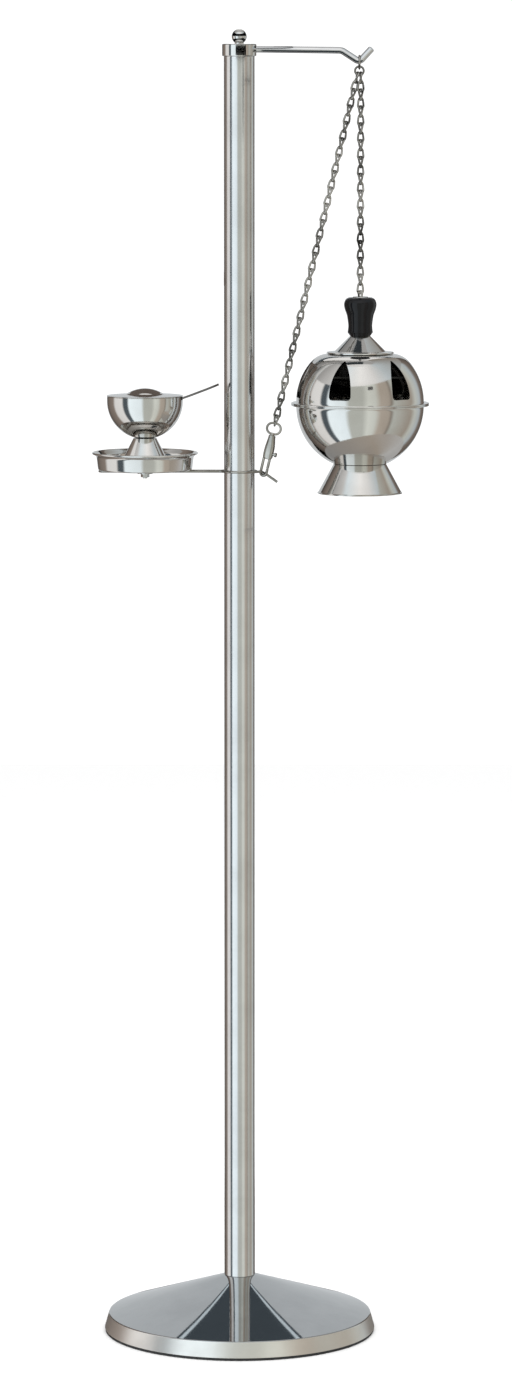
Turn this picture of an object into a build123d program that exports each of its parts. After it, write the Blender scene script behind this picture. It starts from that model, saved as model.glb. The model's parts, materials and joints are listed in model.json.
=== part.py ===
"""A thurible (a hanging censer on a chain) on its stand, with an incense boat on a wire-held tray.

Millimetres, +Z up. The origin is on the pole's axis, in the plane that the base rests on. The hook
arm and the censer are on the +X side and the tray with the boat is on the -X side.
"""

import os
from math import asin, atan2, cos, degrees, radians, sin, sqrt

from build123d import *

os.makedirs("parts", exist_ok=True)

# ---- driving dimensions -------------------------------------------------------------------------

# base and pole
BASE_R = 127.0  # a ten inch base
RIM_R, RIM_TOP = 123.0, 16.9  # where the slanted rim turns into the cone
RUBBER_H = 2.5
SEAT_Z = 52.4  # the flat that the pole stands on
POLE_R = 14.2875  # 1 1/8 inch tube
POLE_WALL = 1.2
POLE_TOP = 1191.5
SHEET = 1.2  # thickness of the base cover

# cap, arm and hook
CAP_R, CAP_TOP = 15.9, 1202.8
FINIAL_R, FINIAL_Z = 6.95, 1209.4
ARM_R = 3.175  # 1/4 inch rod
HOOK_X, HOOK_Z = 110.2, 1187.6  # the rod's centre at the lowest point of the hook
HOOK_BEND = 4.5

# chain
WIRE_R = 1.0
LINK_INSIDE = 7.9  # inside length of a link
LINK_HALF = 2.65  # from a link's middle to the middle of its side wire
PITCH = 7.7  # a little under the inside length, so that links clear each other
STRAND_OFFSET = 1.3  # each strand's distance from the middle of the ring
TIE_ANGLE = 13.24  # lean of the tie strand from upright
TIE_LINKS, DROP_LINKS, LEAD_LINKS = 43, 35, 3

# censer
CX = HOOK_X + STRAND_OFFSET  # the censer's axis
SEAM_Z = 872.45  # between the rims of the bowl and the lid
BALL_R = 59.0
FLANGE_R = 63.7
FLANGE_T = 1.5
SKIN = 1.0  # thickness of the spun metal
FOOT_Z = 789.9
BUSH_R = 4.8  # the bore that the chain runs through

# tray and boat
TX = -87.2  # their common axis
TRAY_Z = 811.5  # underside of the tray's floor
BRACKET_R = 1.2
BRACKET_Z = TRAY_Z - BRACKET_R
BOAT_R, BOAT_BALL_Z, BOAT_RIM = 35.1, 875.2, 879.6
SPOON_TURN = -12.0  # the spoon points a little towards the front

GAP = 0.1  # between faces that only rest on each other


def at_angle(radius, angle, centre_z=0.0):
    """A point on a circle about the axis, as (radius, height)."""
    return radius * cos(radians(angle)), centre_z + radius * sin(radians(angle))


def upright(x=0.0):
    """The vertical plane through an axis at x, for outlines of (radius, height)."""
    return Plane(origin=(x, 0, 0), x_dir=(1, 0, 0), z_dir=(0, -1, 0))


def axis_at(x=0.0):
    return Axis((x, 0, 0), (0, 0, 1))


def crown(edge_r, edge_z, top_z):
    """The middle of a dome's curve, from its edge to its top on the axis, as (radius, height)."""
    rise = abs(top_z - edge_z)
    ball = (edge_r**2 + rise**2) / (2 * rise)
    half = asin(edge_r / ball) / 2
    drop = ball - ball * cos(half)
    return ball * sin(half), top_z - drop if top_z > edge_z else top_z + drop


def outline(points, x=0.0):
    """The face inside a closed outline of (radius, height) points."""
    with BuildSketch(upright(x)) as section:
        with BuildLine():
            Polyline(*points, close=True)
        make_face()
    return section.sketch


def save(piece, name):
    """Label a finished piece and write it."""
    piece.part.label = name
    export_step(piece.part, f"parts/{name}.step")


# ---- base and pole ------------------------------------------------------------------------------

cone_slope = (SEAT_Z - RIM_TOP) / (RIM_R - POLE_R - 0.3)
inner_drop = SHEET * sqrt(1 + cone_slope**2)

with BuildPart() as base_shell:
    with BuildSketch(upright()) as shell_section:
        with BuildLine():
            Polyline(
                (4.2, SEAT_Z),
                (POLE_R + 0.3, SEAT_Z),
                (RIM_R, RIM_TOP),
                (BASE_R, RUBBER_H),
                (BASE_R - SHEET, RUBBER_H),
                (RIM_R - SHEET, RIM_TOP - inner_drop + SHEET * cone_slope),
                (POLE_R, SEAT_Z - SHEET),
                (4.2, SEAT_Z - SHEET),
                close=True,
            )
        make_face()
        rim_corner = shell_section.vertices().sort_by_distance((RIM_R, RIM_TOP))[0]
        fillet(rim_corner, radius=1.6)
    revolve(axis=Axis.Z)

with BuildPart() as base_weight:
    revolve(
        outline(
            [
                (4.3, 14.0),
                (14.0, 14.0),
                (14.0, RUBBER_H),
                (118.0, RUBBER_H),
                (118.0, 14.0),
                (112.0, 17.4),
                (22.0, 46.9),
                (14.0, 46.9),
                (14.0, SEAT_Z - SHEET),
                (4.3, SEAT_Z - SHEET),
            ]
        ),
        axis=Axis.Z,
    )

with BuildPart() as base_pad:
    with BuildSketch():
        Circle(126.4)
    extrude(amount=RUBBER_H)
    fillet(base_pad.edges().filter_by(GeomType.CIRCLE).group_by(Axis.Z)[0], 0.5)

with BuildPart() as pole:
    with BuildSketch(Plane.XY.offset(SEAT_Z)):
        Circle(POLE_R)
        Circle(POLE_R - POLE_WALL, mode=Mode.SUBTRACT)
    extrude(amount=POLE_TOP - SEAT_Z)

PLUG_R = POLE_R - POLE_WALL
with BuildPart() as pole_foot_plug:
    with BuildSketch(Plane.XY.offset(SEAT_Z)):
        Circle(PLUG_R)
    extrude(amount=32)
    with Locations(Plane.XY.offset(SEAT_Z)):
        Cylinder(4.0, 26, align=(Align.CENTER, Align.CENTER, Align.MIN), mode=Mode.SUBTRACT)
    chamfer(pole_foot_plug.faces().sort_by(Axis.Z)[-1].edges(), 1.0)

with BuildPart() as base_washer:
    with BuildSketch(Plane.XY.offset(12.4)):
        Circle(12.0)
        Circle(4.2, mode=Mode.SUBTRACT)
    extrude(amount=1.6)

with BuildPart() as base_bolt:
    with BuildSketch(Plane.XY.offset(7.1)):
        RegularPolygon(13.0 / 2, 6, major_radius=False)
    extrude(amount=5.3)
    with BuildSketch(Plane.XY.offset(12.4)):
        Circle(3.95)
    extrude(amount=61.6)
    chamfer(base_bolt.faces().sort_by(Axis.Z)[-1].edges(), 0.8)

# ---- cap, finial and hook arm -------------------------------------------------------------------

with BuildPart() as pole_top_plug:
    with BuildSketch(Plane.XY.offset(POLE_TOP - 22)):
        Circle(PLUG_R)
    extrude(amount=22)
    with Locations((0, 0, POLE_TOP)):
        Cylinder(3.05, 18, align=(Align.CENTER, Align.CENTER, Align.MAX), mode=Mode.SUBTRACT)

ARM_Z = 1198.0  # the arm starts at this height and falls slightly towards its bend
ARM_END = (93.8, 0, 1196.9)
ARM_FALL = (ARM_END[0] - 7.2, 0, ARM_END[2] - ARM_Z)
with BuildPart() as top_cap:
    with BuildSketch(Plane.XY.offset(POLE_TOP)):
        Circle(CAP_R)
    extrude(amount=CAP_TOP - POLE_TOP)
    fillet(top_cap.edges().filter_by(GeomType.CIRCLE), 0.8)
    with Locations((0, 0, POLE_TOP)):
        Cylinder(3.05, 30, mode=Mode.SUBTRACT)
    with Locations(Plane(origin=(7, 0, ARM_Z), z_dir=ARM_FALL)):
        Cylinder(
            ARM_R + 0.05, 20, align=(Align.CENTER, Align.CENTER, Align.MIN), mode=Mode.SUBTRACT
        )

with BuildPart() as finial:
    neck_r = 4.1
    neck_top = FINIAL_Z - sqrt(FINIAL_R**2 - neck_r**2)
    with BuildSketch(upright()):
        with BuildLine():
            Line((0, POLE_TOP - 14), (3.0, POLE_TOP - 14))
            Line((3.0, POLE_TOP - 14), (3.0, CAP_TOP))
            Line((3.0, CAP_TOP), (neck_r, CAP_TOP))
            Line((neck_r, CAP_TOP), (neck_r, neck_top))
            ThreePointArc((neck_r, neck_top), (FINIAL_R, FINIAL_Z), (0, FINIAL_Z + FINIAL_R))
            Line((0, FINIAL_Z + FINIAL_R), (0, POLE_TOP - 14))
        make_face()
    revolve(axis=Axis.Z)

# the corner of the hook's two straights lies below the rod's own lowest point
HOOK_CORNER = HOOK_Z - HOOK_BEND * (1 / cos(radians(39)) - 1)
with BuildPart() as hook_arm:
    with BuildLine() as arm_path:
        FilletPolyline(
            (7.2, 0, ARM_Z),
            ARM_END,
            (HOOK_X, 0, HOOK_CORNER),
            (121.8, 0, HOOK_CORNER + 12.6),
            radius=[9.0, HOOK_BEND],
        )
    with BuildSketch(arm_path.line ^ 0):
        Circle(ARM_R)
    sweep()
    fillet(hook_arm.faces().filter_by(GeomType.PLANE).sort_by(Axis.X)[-1].edges(), 1.2)

# ---- chain --------------------------------------------------------------------------------------


def ring_path(half_width, half_length):
    """A closed ring of wire in its own XZ plane: two half circles joined by straights."""
    straight = half_length - half_width
    with BuildLine(Plane.XZ) as path:
        if straight > 0:
            Line((half_width, -straight), (half_width, straight))
        ThreePointArc((half_width, straight), (0, half_length), (-half_width, straight))
        if straight > 0:
            Line((-half_width, straight), (-half_width, -straight))
        ThreePointArc((-half_width, -straight), (0, -half_length), (half_width, -straight))
    return path.line


def wire_ring(half_width, half_length, wire_r):
    """A ring of round wire, as a solid about the origin."""
    path = ring_path(half_width, half_length)
    with BuildPart() as ring:
        with BuildSketch(path ^ 0):
            Circle(wire_r)
        sweep(path=path)
    return ring.part


LINK_END = LINK_INSIDE / 2 + WIRE_R  # from a link's middle to the middle of its end wire
link = wire_ring(LINK_HALF, LINK_END, WIRE_R)


def link_turns(count):
    """Each link's turn about the strand: every second link stands across, after two odd ones."""
    return [90, 25, 90] + [0 if n % 2 else 90 for n in range(3, count)]


def strand(top, lean, turns, first=0):
    """Where each link goes: top is the middle of link 0's upper wire."""
    places = []
    for n, turn in enumerate(turns):
        if n >= first:
            down = LINK_END + PITCH * n
            spot = (top[0] - down * sin(radians(lean)), 0, top[1] - down * cos(radians(lean)))
            places.append(Location(spot) * Location((0, 0, 0), (0, lean, turn)))
    return places


# the hook link hangs on the rod, and the ring hangs in the hook link
HOOK_LINK_HALF, HOOK_LINK_INSIDE = 4.5, 9.8
hook_link_top = HOOK_Z + ARM_R + 0.15 + WIRE_R
hook_link_mid = hook_link_top - WIRE_R - HOOK_LINK_INSIDE / 2
RING_R = 4.0
ring_z = hook_link_mid - HOOK_LINK_INSIDE / 2 + GAP + WIRE_R - RING_R
strand_z = ring_z - sqrt((RING_R - 2 * WIRE_R - GAP) ** 2 - STRAND_OFFSET**2)

with BuildPart() as hook_link:
    with Locations(Location((HOOK_X, 0, hook_link_mid), (0, 0, 90))):
        add(wire_ring(HOOK_LINK_HALF, HOOK_LINK_INSIDE / 2 + WIRE_R, WIRE_R))

with BuildPart() as chain_ring:
    with Locations(upright(HOOK_X).offset(0)):
        with Locations((0, ring_z)):
            add(Solid.make_torus(RING_R, WIRE_R))

drop_top = (CX, strand_z)
tie_top = (HOOK_X - STRAND_OFFSET, strand_z)
drop_turns = link_turns(DROP_LINKS)

with BuildPart() as lead_links:
    with Locations(*strand(drop_top, 0, drop_turns[:LEAD_LINKS])):
        add(link)

with BuildPart() as drop_chain:
    with Locations(*strand(drop_top, 0, drop_turns, LEAD_LINKS)):
        add(link)

with BuildPart() as tie_chain:
    with Locations(*strand(tie_top, TIE_ANGLE, link_turns(TIE_LINKS))):
        add(link)

# ---- bolt snap at the end of the tie strand -----------------------------------------------------

EYE_WIRE = 1.1
EYE_HALF_W, EYE_HALF_H = 6.4, 5.0
HOOK_TO_EYE = 45.9  # from the snap's lowest point to the middle of its eye
SNAP_TURN = -20.0  # the snap has swivelled so that its hook faces the bracket wire

tie_length = (TIE_LINKS - 1) * PITCH + 2 * LINK_END
eye_down = tie_length + (EYE_HALF_H - EYE_WIRE) - WIRE_R - GAP
eye_x = tie_top[0] - eye_down * sin(radians(TIE_ANGLE))
eye_z = tie_top[1] - eye_down * cos(radians(TIE_ANGLE))
eye_frame = Location((eye_x, 0, eye_z), (0, TIE_ANGLE, 0))
snap_frame = Plane(eye_frame * Location((0, 0, -HOOK_TO_EYE), (0, 0, SNAP_TURN)))
snap_front = Plane(
    origin=snap_frame.origin, x_dir=snap_frame.x_dir, z_dir=-snap_frame.y_dir
)

HOOK_WIRE = 1.3
HOOK_HALF = 2.9  # from the hook's middle to the middle of each leg
BOLT_TIP = 8.8
BOLT_TOP = 26.0
THUMB_S = 22.6
SNAP_TRAVEL = 6.5
BORE_R = 1.35
BORE_TOP = 35.8
BODY_LOW, BODY_HIGH, BODY_TOP = 17.0, 38.4, 39.5

with BuildPart() as snap_eye:
    with Locations(eye_frame):
        add(Rot(0, 90, 0) * wire_ring(EYE_HALF_H, EYE_HALF_W, EYE_WIRE))
    with Locations(snap_frame.offset(36.6)):
        Cylinder(2.9, 1.5, align=(Align.CENTER, Align.CENTER, Align.MIN))
        Cylinder(1.9, 4.6, align=(Align.CENTER, Align.CENTER, Align.MIN))

with BuildPart() as snap_body:
    with BuildSketch(snap_frame.offset(BODY_LOW)):
        with Locations((0.4, 0)):
            RectangleRounded(9.6, 6.4, 2.6)
    extrude(amount=BODY_HIGH - BODY_LOW)
    with BuildSketch(snap_frame.offset(BODY_HIGH)):
        Circle(3.2)
    extrude(amount=BODY_TOP - BODY_HIGH)
    # the hook, bent from the body's own rod
    with BuildLine(snap_front) as hook_path:
        Line((-HOOK_HALF, BODY_LOW + 1), (-HOOK_HALF, HOOK_HALF + HOOK_WIRE))
        ThreePointArc(
            (-HOOK_HALF, HOOK_HALF + HOOK_WIRE),
            (0, HOOK_WIRE),
            (HOOK_HALF, HOOK_HALF + HOOK_WIRE),
        )
        Line((HOOK_HALF, HOOK_HALF + HOOK_WIRE), (HOOK_HALF, BOLT_TIP - 0.2))
    with BuildSketch(hook_path.line ^ 0):
        Circle(HOOK_WIRE)
    sweep()
    # the swivel's cavity, the bolt's bore and the slot for its thumb stud
    with Locations(snap_frame.offset(36.4)):
        Cylinder(3.0, 1.9, align=(Align.CENTER, Align.CENTER, Align.MIN), mode=Mode.SUBTRACT)
        Cylinder(2.0, 9, align=(Align.CENTER, Align.CENTER, Align.MIN), mode=Mode.SUBTRACT)
    with Locations(snap_frame.offset(BODY_LOW)):
        with Locations((HOOK_HALF, 0)):
            Cylinder(
                BORE_R,
                BORE_TOP - BODY_LOW,
                align=(Align.CENTER, Align.CENTER, Align.MIN),
                mode=Mode.SUBTRACT,
            )
    slot_low, slot_high = THUMB_S - 1.8, THUMB_S + SNAP_TRAVEL + 1.8
    with Locations(snap_front):
        with Locations((HOOK_HALF + 3, (slot_low + slot_high) / 2)):
            Box(6, slot_high - slot_low, 3.4, mode=Mode.SUBTRACT)

with BuildPart() as snap_bolt:
    with Locations(snap_frame.offset(BOLT_TIP)):
        with Locations((HOOK_HALF, 0)):
            Cylinder(
                BORE_R - 0.05, BOLT_TOP - BOLT_TIP, align=(Align.CENTER, Align.CENTER, Align.MIN)
            )
    thumb = Plane(
        origin=snap_frame.from_local_coords((HOOK_HALF, 0, THUMB_S)), z_dir=snap_frame.x_dir
    )
    with Locations(thumb):
        Cylinder(1.3, 4.6, align=(Align.CENTER, Align.CENTER, Align.MIN))
    with Locations(thumb.offset(3.8)):
        Cylinder(2.1, 1.5, align=(Align.CENTER, Align.CENTER, Align.MIN))

with BuildPart() as snap_spring:
    spring_low = snap_frame.from_local_coords((HOOK_HALF, 0, BOLT_TOP + 0.35))
    with BuildLine():
        coil = Helix(
            pitch=1.1,
            height=BORE_TOP - BOLT_TOP - 0.8,
            radius=0.9,
            center=spring_low,
            direction=snap_frame.z_dir,
        )
    with BuildSketch(Plane(origin=coil @ 0, z_dir=coil % 0)):
        Circle(0.2)
    sweep(path=coil, is_frenet=True)

# ---- wire bracket: clasp round the pole, hairpin under the tray, tail for the snap ---------------

CLASP_R = POLE_R + BRACKET_R + 0.05
PAIR = 3.3  # each wire of the hairpin is this far from the middle
CLASP_BEND = 5.0
TAIL_TURN = 70.0  # the wire's heading, from +X, where it passes through the snap's hook

bend_x = -sqrt((CLASP_R + CLASP_BEND) ** 2 - (PAIR + CLASP_BEND) ** 2)
bend_share = CLASP_R / (CLASP_R + CLASP_BEND)
clasp_left = (bend_x * bend_share, (PAIR + CLASP_BEND) * bend_share)
hairpin_x = -130.4 + BRACKET_R + PAIR

cross = snap_frame.from_local_coords((0, 0, 2 * HOOK_WIRE + BRACKET_R + 0.25))
heading = Vector(cos(radians(TAIL_TURN)), sin(radians(TAIL_TURN)), 0)
corner_in = Vector(cross.X, cross.Y, 0) - heading * 5.5
tail_fall = (BRACKET_Z - cross.Z) / 5.5
corner_in = Vector(corner_in.X, corner_in.Y, BRACKET_Z)
corner_out = cross + heading * 4.5 + Vector(0, 0, -4.5 * tail_fall)
leave = atan2(corner_in.Y, corner_in.X) - radians(
    90 - degrees(asin(CLASP_R / sqrt(corner_in.X**2 + corner_in.Y**2)))
)
leave_point = (CLASP_R * cos(leave), CLASP_R * sin(leave))


def bend_between(side):
    """The middle of the small bend from the hairpin's straight to the clasp."""
    centre = Vector(bend_x, side * (PAIR + CLASP_BEND))
    towards = Vector(clasp_left[0], side * clasp_left[1]) - centre
    down = Vector(0, -side * CLASP_BEND)
    middle = (towards + down).normalized() * CLASP_BEND
    return (centre.X + middle.X, centre.Y + middle.Y)


with BuildPart() as wire_bracket:
    with BuildLine() as bracket_path:
        with BuildLine(Plane.XY.offset(BRACKET_Z)):
            ThreePointArc((CLASP_R, 0), (0, CLASP_R), clasp_left)
            ThreePointArc(clasp_left, bend_between(1), (bend_x, PAIR))
            Line((bend_x, PAIR), (hairpin_x, PAIR))
            ThreePointArc((hairpin_x, PAIR), (hairpin_x - PAIR, 0), (hairpin_x, -PAIR))
            Line((hairpin_x, -PAIR), (bend_x, -PAIR))
            ThreePointArc((bend_x, -PAIR), bend_between(-1), (clasp_left[0], -clasp_left[1]))
            ThreePointArc((clasp_left[0], -clasp_left[1]), (0, -CLASP_R), leave_point)
        FilletPolyline(
            (*leave_point, BRACKET_Z),
            corner_in,
            corner_out,
            (35.1, 4.0, 799.9),
            radius=[5.0, 2.6],
        )
    with BuildSketch(bracket_path.line ^ 0):
        Circle(BRACKET_R)
    sweep(path=bracket_path.line)

# ---- tray ---------------------------------------------------------------------------------------

with BuildPart() as tray:
    with BuildSketch(upright(TX)):
        with BuildLine():
            Polyline(
                (2.1, TRAY_Z),
                (42.4, TRAY_Z),
                (43.6, TRAY_Z + 1.2),
                (44.9, 823.0),
                (47.6, 826.0),
                (47.0, 826.6),
                (44.1, 823.4),
                (42.8, TRAY_Z + 1.6),
                (42.0, TRAY_Z + 0.8),
                (2.1, TRAY_Z + 0.8),
                close=True,
            )
        make_face()
        with Locations((47.9, 827.0)):
            Circle(1.1)
    revolve(axis=axis_at(TX))

with BuildPart() as tray_screw:
    with BuildSketch(Plane.XY.offset(TRAY_Z + 0.8)):
        with Locations((TX, 0)):
            Circle(3.6)
    extrude(amount=2.0)
    fillet(tray_screw.faces().sort_by(Axis.Z)[-1].edges(), 0.9)
    with BuildSketch(Plane.XY.offset(TRAY_Z + 0.8)):
        with Locations((TX, 0)):
            Circle(1.95)
    extrude(amount=-8.7)

with BuildPart() as tray_washer:
    with BuildSketch(Plane.XY.offset(BRACKET_Z - BRACKET_R - 1.2)):
        with Locations((TX, 0)):
            Circle(7.0)
            Circle(2.1, mode=Mode.SUBTRACT)
    extrude(amount=1.2)

with BuildPart() as tray_nut:
    with BuildSketch(Plane.XY.offset(BRACKET_Z - BRACKET_R - 1.2 - 3.2)):
        with Locations((TX, 0)):
            RegularPolygon(3.5, 6, major_radius=False)
            Circle(2.0, mode=Mode.SUBTRACT)
    extrude(amount=3.2)

# ---- incense boat -------------------------------------------------------------------------------

BOAT_FLAT = 8.0
boat_low = BOAT_BALL_Z - sqrt(BOAT_R**2 - BOAT_FLAT**2)
boat_in = BOAT_R - SKIN
boat_floor = BOAT_BALL_Z - sqrt(boat_in**2 - BOAT_FLAT**2)

with BuildPart() as boat_bowl:
    with BuildSketch(upright(TX)):
        with BuildLine():
            Line((1.6, boat_low), (BOAT_FLAT, boat_low))
            ThreePointArc(
                (BOAT_FLAT, boat_low), at_angle(BOAT_R, -35, BOAT_BALL_Z), (BOAT_R, BOAT_BALL_Z)
            )
            Polyline(
                (BOAT_R, BOAT_BALL_Z), (BOAT_R, BOAT_RIM), (boat_in, BOAT_RIM), (boat_in, BOAT_BALL_Z)
            )
            ThreePointArc(
                (boat_in, BOAT_BALL_Z), at_angle(boat_in, -35, BOAT_BALL_Z), (BOAT_FLAT, boat_floor)
            )
            Polyline((BOAT_FLAT, boat_floor), (1.6, boat_floor), (1.6, boat_low))
        make_face()
    revolve(axis=axis_at(TX))
    # the notch that the spoon's handle lies in
    with Locations(Location((TX, 0, BOAT_RIM), (0, 0, SPOON_TURN))):
        with Locations((BOAT_R, 0, 0)):
            Box(8, 6.4, 6.0, mode=Mode.SUBTRACT)

with BuildPart() as boat_foot:
    revolve(
        outline(
            [
                (1.6, boat_low),
                (10.7, boat_low),
                (24.7, 813.7),
                (26.2, 812.9),
                (26.2, TRAY_Z + 0.8 + GAP),
                (25.2, TRAY_Z + 0.8 + GAP),
                (24.0, 813.0),
                (9.9, boat_low - 1.2),
                (1.6, boat_low - 1.2),
            ],
            TX,
        ),
        axis=axis_at(TX),
    )

with BuildPart() as boat_rivet:
    revolve(
        outline(
            [
                (0, boat_low - 2.6),
                (2.2, boat_low - 2.6),
                (3.0, boat_low - 1.2),
                (1.6, boat_low - 1.2),
                (1.6, boat_floor),
                (3.0, boat_floor),
                (2.2, boat_floor + 1.2),
                (0, boat_floor + 1.2),
            ],
            TX,
        ),
        axis=axis_at(TX),
    )

lid_seat = BOAT_RIM + GAP
with BuildPart() as boat_lid:
    with BuildSketch(upright(TX)):
        with BuildLine():
            ThreePointArc(
                (0, lid_seat + 6.4),
                crown(17.2, lid_seat + 0.9, lid_seat + 6.4),
                (17.2, lid_seat + 0.9),
            )
            Polyline(
                (17.2, lid_seat + 0.9),
                (32.7, lid_seat),
                (32.7, lid_seat - 0.8),
                (33.6, lid_seat - 0.8),
                (33.6, lid_seat),
                (35.3, lid_seat),
                (35.3, lid_seat + 0.8),
                (17.9, lid_seat + 1.8),
            )
            ThreePointArc(
                (17.9, lid_seat + 1.8),
                crown(17.9, lid_seat + 1.8, lid_seat + 7.3),
                (0, lid_seat + 7.3),
            )
            Line((0, lid_seat + 7.3), (0, lid_seat + 6.4))
        make_face()
    revolve(axis=axis_at(TX))

# the spoon lies straight through the notch, its bowl end against the boat's far wall
SPOON_SLOPE = 19.2
SPOON_REST_R, SPOON_REST_Z = 35.1, 878.1  # where its middle crosses the boat's wall
SPOON_OUT, SPOON_IN = 37.0, 55.4  # along it from there to the tip, and to the bowl's middle
spoon_place = Location((TX, 0, 0), (0, 0, SPOON_TURN)) * Location(
    (SPOON_REST_R, 0, SPOON_REST_Z), (0, -SPOON_SLOPE, 0)
)
spoon_plane = Plane(spoon_place)
SPOON_BOWL_R, SPOON_DEPTH = 8.0, 3.2

with BuildPart() as spoon:
    with BuildSketch(spoon_plane.offset(-0.6)):
        with BuildLine():
            Polyline(
                (-SPOON_IN + SPOON_BOWL_R - 0.6, -2.0),
                (-10, -1.5),
                (8, -1.6),
                (SPOON_OUT - 3, -2.8),
                (SPOON_OUT, -1.4),
                (SPOON_OUT, 1.4),
                (SPOON_OUT - 3, 2.8),
                (8, 1.6),
                (-10, 1.5),
                (-SPOON_IN + SPOON_BOWL_R - 0.6, 2.0),
                close=True,
            )
        make_face()
    extrude(amount=1.2)
    bowl_spot = spoon_plane.from_local_coords((-SPOON_IN, 0, 0.6))
    bowl_section = Plane(
        origin=bowl_spot, x_dir=spoon_plane.x_dir, z_dir=-spoon_plane.y_dir
    )
    with BuildSketch(bowl_section):
        with BuildLine():
            ThreePointArc(
                (0, -SPOON_DEPTH), crown(SPOON_BOWL_R, 0, -SPOON_DEPTH), (SPOON_BOWL_R, 0)
            )
            Line((SPOON_BOWL_R, 0), (SPOON_BOWL_R - 0.9, 0))
            ThreePointArc(
                (SPOON_BOWL_R - 0.9, 0),
                crown(SPOON_BOWL_R - 0.9, 0, -SPOON_DEPTH + 0.8),
                (0, -SPOON_DEPTH + 0.8),
            )
            Line((0, -SPOON_DEPTH + 0.8), (0, -SPOON_DEPTH))
        make_face()
    revolve(axis=Axis(bowl_spot, spoon_plane.z_dir))

# ---- censer bowl and foot -----------------------------------------------------------------------

BOWL_Z = 871.0  # centre of the bowl's ball
BOWL_FLAT = 24.0
bowl_rim = SEAM_Z - GAP / 2
bowl_in = BALL_R - SKIN
bowl_low = BOWL_Z - sqrt(BALL_R**2 - BOWL_FLAT**2)
bowl_floor = BOWL_Z - sqrt(bowl_in**2 - BOWL_FLAT**2)
FOOT_HOLE = 2.6
RIVET_Z = 862.0
RIVET_R = 1.5

with BuildPart() as censer_bowl:
    with BuildSketch(upright(CX)):
        with BuildLine():
            Line((FOOT_HOLE, bowl_low), (BOWL_FLAT, bowl_low))
            ThreePointArc((BOWL_FLAT, bowl_low), at_angle(BALL_R, -30, BOWL_Z), (BALL_R, BOWL_Z))
            Polyline(
                (BALL_R, BOWL_Z),
                (FLANGE_R - 0.6, bowl_rim - FLANGE_T + 0.15),
                (FLANGE_R, bowl_rim - FLANGE_T + 0.6),
                (FLANGE_R, bowl_rim),
                (bowl_in, bowl_rim),
                (bowl_in, BOWL_Z),
            )
            ThreePointArc(
                (bowl_in, BOWL_Z), at_angle(bowl_in, -30, BOWL_Z), (BOWL_FLAT, bowl_floor)
            )
            Polyline((BOWL_FLAT, bowl_floor), (FOOT_HOLE, bowl_floor), (FOOT_HOLE, bowl_low))
        make_face()
    revolve(axis=axis_at(CX))
    with Locations(Plane(origin=(CX, 0, RIVET_Z), z_dir=(1, 0, 0))):
        Cylinder(RIVET_R, 130, mode=Mode.SUBTRACT)

with BuildPart() as censer_foot:
    revolve(
        outline(
            [
                (FOOT_HOLE, bowl_low),
                (24.4, bowl_low),
                (38.4, FOOT_Z + 1.4),
                (39.3, FOOT_Z + 0.6),
                (39.3, FOOT_Z),
                (38.2, FOOT_Z),
                (37.2, FOOT_Z + 1.0),
                (23.5, bowl_low - 1.2),
                (FOOT_HOLE, bowl_low - 1.2),
            ],
            CX,
        ),
        axis=axis_at(CX),
    )

with BuildPart() as foot_screw:
    with BuildSketch(Plane.XY.offset(bowl_floor)):
        with Locations((CX, 0)):
            Circle(4.6)
    extrude(amount=2.2)
    fillet(foot_screw.faces().sort_by(Axis.Z)[-1].edges(), 0.9)
    with BuildSketch(Plane.XY.offset(bowl_floor)):
        with Locations((CX, 0)):
            Circle(2.45)
    extrude(amount=-9.0)

with BuildPart() as foot_nut:
    with BuildSketch(Plane.XY.offset(bowl_low - 1.2 - 4.0)):
        with Locations((CX, 0)):
            RegularPolygon(4.0, 6, major_radius=False)
            Circle(2.5, mode=Mode.SUBTRACT)
    extrude(amount=4.0)

cup_floor = bowl_floor + GAP
with BuildPart() as fire_cup:
    revolve(
        outline(
            [
                (0, cup_floor + 3.6),
                (12.0, cup_floor + 3.6),
                (15.0, cup_floor),
                (21.0, cup_floor),
                (36.0, cup_floor + 7.7),
                (44.0, cup_floor + 21.7),
                (44.5, 865.8),
                (46.5, 865.8),
                (46.5, 866.9),
                (43.4, 866.9),
                (43.0, cup_floor + 22.0),
                (35.2, cup_floor + 8.5),
                (20.6, cup_floor + 1.0),
                (15.6, cup_floor + 1.0),
                (12.6, cup_floor + 4.6),
                (0, cup_floor + 4.6),
            ],
            CX,
        ),
        axis=axis_at(CX),
    )

# ---- bail and swivel ----------------------------------------------------------------------------

BAIL_OUT, BAIL_T, BAIL_W = 55.9, 1.5, 8.0
BAIL_LOW, BAIL_TOP = 857.0, 897.7
BAIL_CORNER = 12.0

with BuildPart() as bail:
    with BuildSketch(upright(CX)) as bail_shape:
        with BuildLine():
            FilletPolyline(
                (-BAIL_OUT, BAIL_LOW),
                (-BAIL_OUT, BAIL_TOP),
                (BAIL_OUT, BAIL_TOP),
                (BAIL_OUT, BAIL_LOW),
                radius=BAIL_CORNER,
            )
            FilletPolyline(
                (-BAIL_OUT + BAIL_T, BAIL_LOW),
                (-BAIL_OUT + BAIL_T, BAIL_TOP - BAIL_T),
                (BAIL_OUT - BAIL_T, BAIL_TOP - BAIL_T),
                (BAIL_OUT - BAIL_T, BAIL_LOW),
                radius=BAIL_CORNER - BAIL_T,
            )
            Line((-BAIL_OUT, BAIL_LOW), (-BAIL_OUT + BAIL_T, BAIL_LOW))
            Line((BAIL_OUT, BAIL_LOW), (BAIL_OUT - BAIL_T, BAIL_LOW))
        make_face()
    extrude(amount=BAIL_W / 2, both=True)
    with Locations((CX, 0, BAIL_TOP)):
        Cylinder(1.65, 10, mode=Mode.SUBTRACT)
    with Locations(Plane(origin=(CX, 0, RIVET_Z), z_dir=(1, 0, 0))):
        Cylinder(RIVET_R, 130, mode=Mode.SUBTRACT)

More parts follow.
